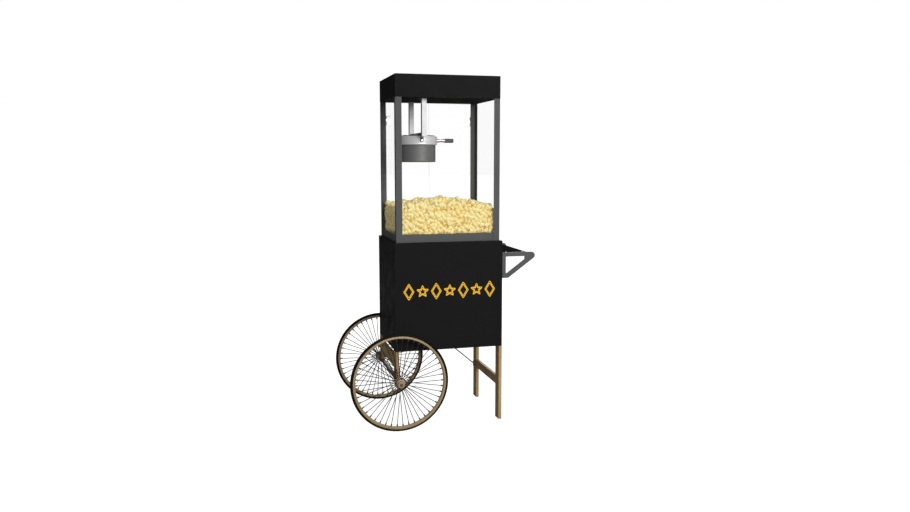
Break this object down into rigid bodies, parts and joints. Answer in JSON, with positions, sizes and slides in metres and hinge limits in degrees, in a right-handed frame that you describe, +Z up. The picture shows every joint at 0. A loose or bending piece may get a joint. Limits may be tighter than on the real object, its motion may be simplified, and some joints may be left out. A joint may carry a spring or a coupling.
{
  "type": "popcorn cart",
  "caption": "Popcorn cart: a glass popping case with a tilting kettle on a black cabinet, carried on spoked wheels and legs, with a side shelf.",
  "frame": {"origin": "on the ground, at the centre of the footprint from the wheels to the nose of the shelf brackets", "axes": "+Z up, -Y the front with the ornament, +X towards the side shelf and the long legs"},
  "size_m": [0.8724, 0.6048, 1.58],
  "materials": {
    "black_board": "satin",
    "black_paint": "satin",
    "oak": "oiled",
    "brace_steel": "satin",
    "axle_steel": "satin",
    "tyre": "matt",
    "gold_metal": "satin",
    "spoke_steel": "satin",
    "grey_metal": "satin",
    "amber": "gloss",
    "glass": "clear",
    "fittings": "satin",
    "stainless": "satin",
    "lamp": "clear",
    "rocker": "gloss",
    "dark_steel": "satin",
    "grip": "matt",
    "popcorn": "matt"
  },
  "bodies": {
    "cart": {"cabinet_front": "black_board", "cabinet_left": "black_board", "cabinet_right": "black_board", "cabinet_floor": "black_board", "cabinet_top": "black_board", "cabinet_back_frame": "black_board", "front_leg": "oak", "rear_leg": "oak", "leg_crossbar": "oak", "leg_brace": "brace_steel", "axle_legs": "oak", "axle_board": "oak", "axle": "axle_steel", "axle_fittings": "axle_steel", "shelf_board": "black_board", "shelf_brackets": "grey_metal", "front_ornament": "amber", "hinge_frames": "fittings", "base_tray": "grey_metal", "sifter_plate": "stainless", "corner_posts": "grey_metal", "front_glass": "glass", "left_glass": "glass", "right_glass": "glass", "canopy": "black_paint", "ceiling_plate": "black_paint", "lamp": "lamp", "switch_panel": "grey_metal", "kettle_hangers": "stainless", "popcorn": "popcorn"},
    "front_wheel": {"front_wheel_tyre": "tyre", "front_wheel_rim": "gold_metal", "front_wheel_spokes": "spoke_steel", "front_wheel_hub": "gold_metal"},
    "rear_wheel": {"rear_wheel_tyre": "tyre", "rear_wheel_rim": "gold_metal", "rear_wheel_spokes": "spoke_steel", "rear_wheel_hub": "gold_metal"},
    "kettle": {"kettle_ring": "stainless", "kettle_can": "dark_steel", "kettle_pot": "stainless", "kettle_heater": "dark_steel", "stir_motor": "dark_steel", "kettle_bridge": "dark_steel", "kettle_handle": "stainless", "handle_grip": "grip"},
    "left_lid": {"left_lid": "stainless"},
    "right_lid": {"right_lid": "stainless"},
    "stirrer": {"stirrer": "stainless"},
    "left_glass_door": {"left_glass_door": "glass", "left_door_fittings": "fittings"},
    "right_glass_door": {"right_glass_door": "glass", "right_door_fittings": "fittings"},
    "crumb_drawer": {"crumb_drawer": "grey_metal"},
    "cabinet_door": {"cabinet_door": "black_board", "door_leaves": "fittings"},
    "door_latch": {"door_latch": "fittings"},
    "heat_switch": {"heat_switch": "rocker"},
    "stir_switch": {"stir_switch": "rocker"},
    "light_switch": {"light_switch": "rocker"}
  },
  "joints": [
    {"name": "front_wheel_spin", "type": "hinge", "parent": "cart", "child": "front_wheel", "pos_m": [-0.21425, -0.258, 0.222], "axis": [0, 1, 0], "continuous": true},
    {"name": "rear_wheel_spin", "type": "hinge", "parent": "cart", "child": "rear_wheel", "pos_m": [-0.21425, 0.258, 0.222], "axis": [0, 1, 0], "continuous": true},
    {"name": "kettle_tilt", "type": "hinge", "parent": "cart", "child": "kettle", "pos_m": [-0.07153, 0, 1.2955], "axis": [0, 1, 0], "range_deg": [0, 100]},
    {"name": "left_lid_hinge", "type": "hinge", "parent": "kettle", "child": "left_lid", "pos_m": [-0.08273, 0, 1.3197], "axis": [0, 1, 0], "range_deg": [0, 85]},
    {"name": "right_lid_hinge", "type": "hinge", "parent": "kettle", "child": "right_lid", "pos_m": [-0.06033, 0, 1.3197], "axis": [0, -1, 0], "range_deg": [0, 85]},
    {"name": "stirrer_spin", "type": "hinge", "parent": "kettle", "child": "stirrer", "pos_m": [-0.07153, 0, 1.227], "axis": [0, 0, 1], "continuous": true},
    {"name": "left_glass_door_hinge", "type": "hinge", "parent": "cart", "child": "left_glass_door", "pos_m": [-0.18325, 0.1956, 1.178], "axis": [0, 0, 1], "range_deg": [0, 115]},
    {"name": "right_glass_door_hinge", "type": "hinge", "parent": "cart", "child": "right_glass_door", "pos_m": [0.23975, 0.1956, 1.178], "axis": [0, 0, -1], "range_deg": [0, 115]},
    {"name": "crumb_drawer_slide", "type": "slide", "parent": "cart", "child": "crumb_drawer", "axis": [0, 1, 0], "range_m": [0, 0.28]},
    {"name": "cabinet_door_hinge", "type": "hinge", "parent": "cart", "child": "cabinet_door", "pos_m": [-0.17175, 0.2136, 0.625], "axis": [0, 0, 1], "range_deg": [0, 115]},
    {"name": "door_latch_turn", "type": "hinge", "parent": "cabinet_door", "child": "door_latch", "pos_m": [0.20625, 0.21, 0.625], "axis": [0, 1, 0], "range_deg": [0, 90]},
    {"name": "heat_switch_rock", "type": "hinge", "parent": "cart", "child": "heat_switch", "pos_m": [-0.04175, 0.191, 1.53], "axis": [-1, 0, 0], "range_deg": [0, 16]},
    {"name": "stir_switch_rock", "type": "hinge", "parent": "cart", "child": "stir_switch", "pos_m": [0.00025, 0.191, 1.53], "axis": [-1, 0, 0], "range_deg": [0, 16]},
    {"name": "light_switch_rock", "type": "hinge", "parent": "cart", "child": "light_switch", "pos_m": [0.04225, 0.191, 1.53], "axis": [-1, 0, 0], "range_deg": [0, 16]}
  ]
}
